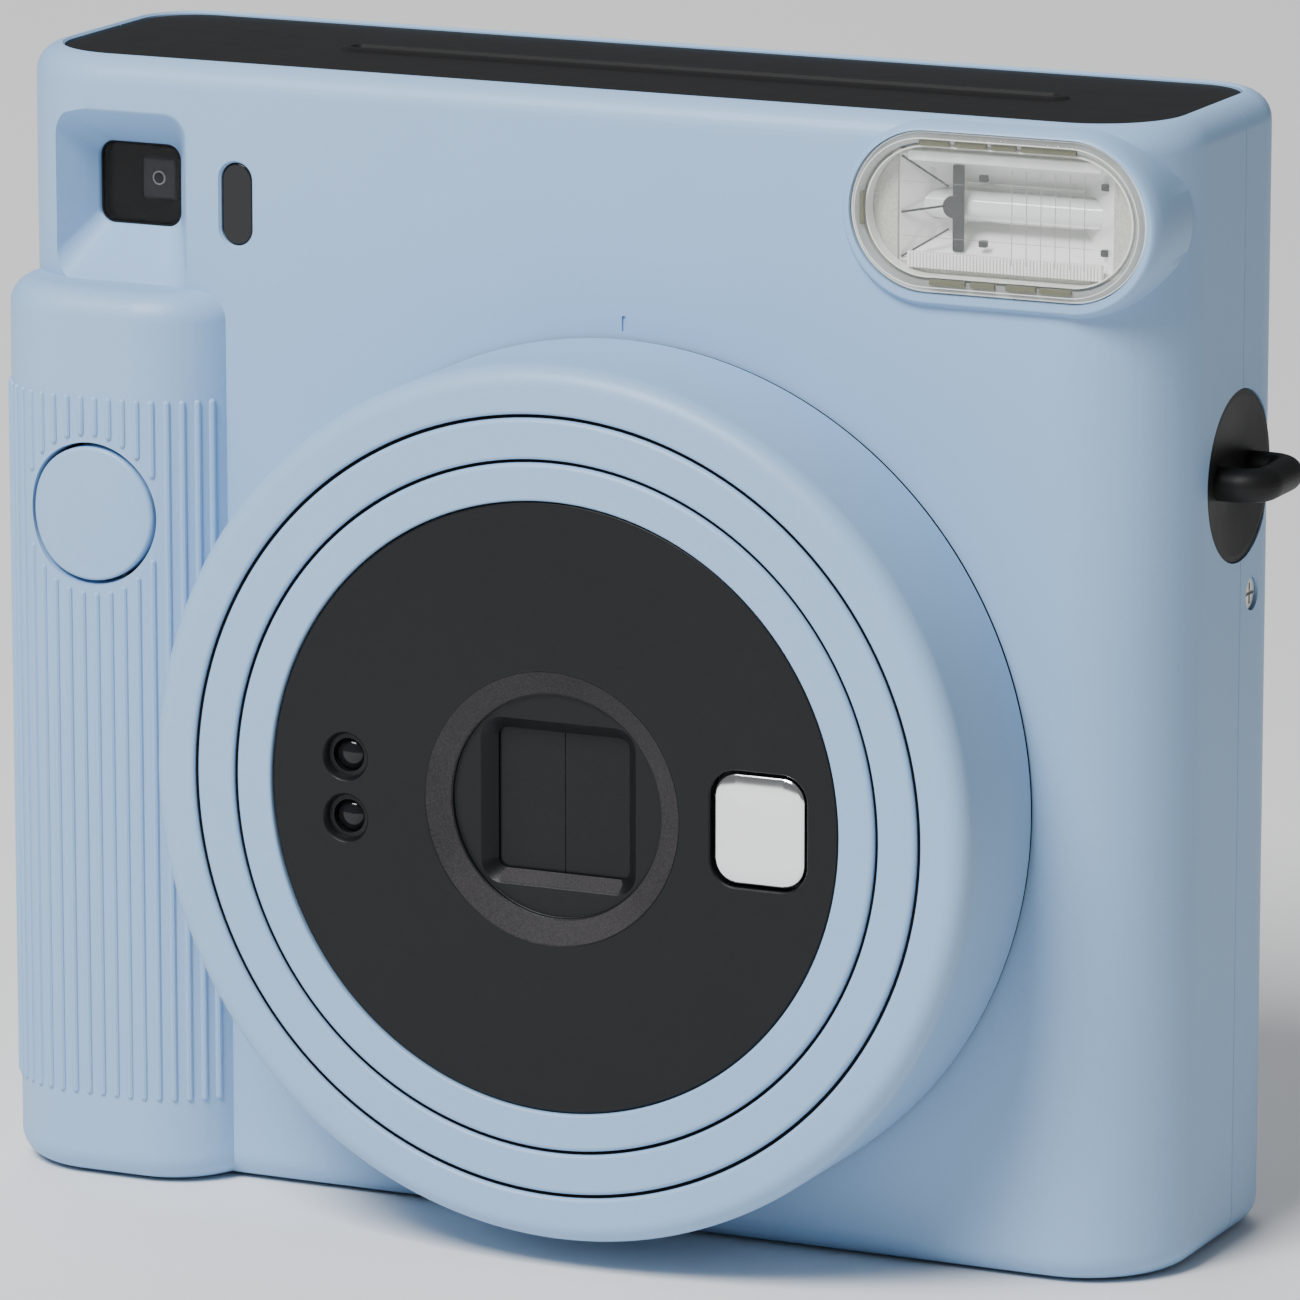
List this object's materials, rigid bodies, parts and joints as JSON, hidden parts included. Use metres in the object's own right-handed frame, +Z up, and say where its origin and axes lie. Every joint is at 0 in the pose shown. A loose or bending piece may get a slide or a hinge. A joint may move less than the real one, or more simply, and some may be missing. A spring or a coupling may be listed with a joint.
{
  "type": "instant camera",
  "caption": "Boxy instant film camera with a grip, a turning lens ring with telescoping barrels, flash, viewfinder, roller film drive and hinged film door.",
  "frame": {"origin": "middle of the flat base, on the surface the camera stands on", "axes": "+Z up, the lens looks along -Y, +X across the width towards the flash side"},
  "size_m": [0.142, 0.0575, 0.1186],
  "materials": {
    "body_plastic": "pale blue moulded plastic with a fine grain",
    "black_plastic": "near-black moulded plastic with a fine grain",
    "lens_black": "matte black lens face",
    "clear_plastic": "clear moulded plastic",
    "dark_window": "dark smoked window plastic",
    "lens_glass": "polished lens",
    "mirror_silver": "small plastic mirror",
    "steel": "bright steel",
    "reflector_metal": "bright formed reflector",
    "roller_rubber": "rubber-coated steel roller",
    "gear_plastic": "ivory gear plastic",
    "brass": "turned brass",
    "board_green": "lacquered circuit board",
    "cell_wrap": "plain shrink-wrapped cell",
    "capacitor_wrap": "sleeved capacitor",
    "foam": "black light-seal foam",
    "coil_copper": "wound coil"
  },
  "bodies": {
    "camera_body": {"front_cover": "body_plastic", "rear_cover": "body_plastic", "top_panel": "black_plastic", "strap_lug_right": "black_plastic", "strap_lug_left": "black_plastic", "cover_screws": "steel", "chassis": "black_plastic", "chassis_screws": "steel", "light_tunnel": "black_plastic", "viewfinder_window": "dark_window", "viewfinder_tunnel": "black_plastic", "viewfinder_eyepiece": "black_plastic", "light_window": "dark_window", "flash_cover": "clear_plastic", "flash_reflector": "reflector_metal", "flash_tube": "lens_glass", "flash_capacitor": "capacitor_wrap", "main_board": "board_green", "button_spring": "steel", "button_switch": "black_plastic", "film_motor": "steel", "door_hinge_pin": "steel", "door_seal": "foam", "latch_spring": "steel", "battery_hinge_pin": "steel", "battery_tray": "black_plastic", "battery_cells": "cell_wrap", "battery_contacts": "steel"},
    "lens_ring": {"lens_ring": "body_plastic", "ring_retainer": "black_plastic"},
    "middle_barrel": {"middle_barrel": "body_plastic"},
    "inner_barrel": {"inner_barrel": "body_plastic", "lens_face": "lens_black", "selfie_mirror": "mirror_silver", "sensor_lenses": "dark_window", "lens_cell": "black_plastic", "front_lens": "lens_glass", "rear_lens": "lens_glass", "shutter_plate": "black_plastic", "shutter_magnet": "coil_copper"},
    "barrier_left": {"barrier_left": "lens_black"},
    "barrier_right": {"barrier_right": "lens_black"},
    "shutter_blade": {"shutter_blade": "steel"},
    "shutter_button": {"shutter_button": "body_plastic"},
    "drive_roller": {"drive_roller": "roller_rubber"},
    "pressure_roller": {"pressure_roller": "steel"},
    "idler_gear": {"idler_gear": "gear_plastic"},
    "motor_pinion": {"motor_pinion": "brass"},
    "film_door": {"film_door": "body_plastic", "film_window": "dark_window", "counter_window": "clear_plastic", "pack_springs": "steel"},
    "counter_wheel": {"counter_wheel": "gear_plastic"},
    "door_latch": {"door_latch": "black_plastic"},
    "battery_door": {"battery_door": "body_plastic"}
  },
  "joints": [
    {"name": "ring_turn", "type": "hinge", "parent": "camera_body", "child": "lens_ring", "pos_m": [0.0067, -0.03, 0.0484], "axis": [0, -1, 0], "range_deg": [0, 60]},
    {"name": "middle_barrel_slide", "type": "slide", "parent": "camera_body", "child": "middle_barrel", "axis": [0, -1, 0], "range_m": [0, 0.00702]},
    {"name": "inner_barrel_slide", "type": "slide", "parent": "camera_body", "child": "inner_barrel", "axis": [0, -1, 0], "range_m": [0, 0.01402]},
    {"name": "barrier_left_slide", "type": "slide", "parent": "inner_barrel", "child": "barrier_left", "axis": [-1, 0, 0], "range_m": [0, 0.00792]},
    {"name": "barrier_right_slide", "type": "slide", "parent": "inner_barrel", "child": "barrier_right", "axis": [1, 0, 0], "range_m": [0, 0.00792]},
    {"name": "shutter_blade_swing", "type": "hinge", "parent": "inner_barrel", "child": "shutter_blade", "pos_m": [0.0197, -0.022, 0.0484], "axis": [0, 1, 0], "range_deg": [0, 42], "stiffness_Nm_per_rad": 0.002, "springref_deg": -11.46},
    {"name": "button_press", "type": "slide", "parent": "camera_body", "child": "shutter_button", "axis": [0, 1, 0], "range_m": [0, 0.0012], "stiffness_N_per_m": 1200, "springref_m": -0.0008, "deforming": ["button_spring"]},
    {"name": "drive_roller_spin", "type": "hinge", "parent": "camera_body", "child": "drive_roller", "pos_m": [0.0067, -0.003, 0.1096], "axis": [1, 0, 0], "continuous": true},
    {"name": "pressure_roller_spin", "type": "hinge", "parent": "camera_body", "child": "pressure_roller", "pos_m": [0.0067, 0.0033, 0.1096], "axis": [1, 0, 0], "continuous": true},
    {"name": "idler_spin", "type": "hinge", "parent": "camera_body", "child": "idler_gear", "pos_m": [0.0495, -0.00324, 0.10015], "axis": [1, 0, 0], "continuous": true},
    {"name": "pinion_spin", "type": "hinge", "parent": "camera_body", "child": "motor_pinion", "pos_m": [0.0495, -0.011, 0.0956], "axis": [1, 0, 0], "continuous": true},
    {"name": "film_door_hinge", "type": "hinge", "parent": "camera_body", "child": "film_door", "pos_m": [0.0577, 0.0192, 0.06], "axis": [0, 0, -1], "range_deg": [0, 115]},
    {"name": "counter_turn", "type": "hinge", "parent": "film_door", "child": "counter_wheel", "pos_m": [0.04, 0.0175, 0.022], "axis": [0, 1, 0], "range_deg": [0, 330]},
    {"name": "latch_slide", "type": "slide", "parent": "camera_body", "child": "door_latch", "axis": [0, 0, 1], "range_m": [0, 0.003], "stiffness_N_per_m": 300, "springref_m": -0.003, "deforming": ["latch_spring"]},
    {"name": "battery_door_hinge", "type": "hinge", "parent": "camera_body", "child": "battery_door", "pos_m": [-0.0591, 0.01795, 0.041], "axis": [0, 0, 1], "range_deg": [0, 115]}
  ],
  "couplings": [
    {"joint": "middle_barrel_slide", "follows": "ring_turn", "m_per_rad": 0.0066845},
    {"joint": "inner_barrel_slide", "follows": "ring_turn", "m_per_rad": 0.013369},
    {"joint": "barrier_left_slide", "follows": "ring_turn", "m_per_rad": 0.0075439},
    {"joint": "barrier_right_slide", "follows": "ring_turn", "m_per_rad": 0.0075439},
    {"joint": "pressure_roller_spin", "follows": "drive_roller_spin", "ratio": -1},
    {"joint": "idler_spin", "follows": "drive_roller_spin", "ratio": -0.5},
    {"joint": "pinion_spin", "follows": "drive_roller_spin", "ratio": 1.1667}
  ]
}
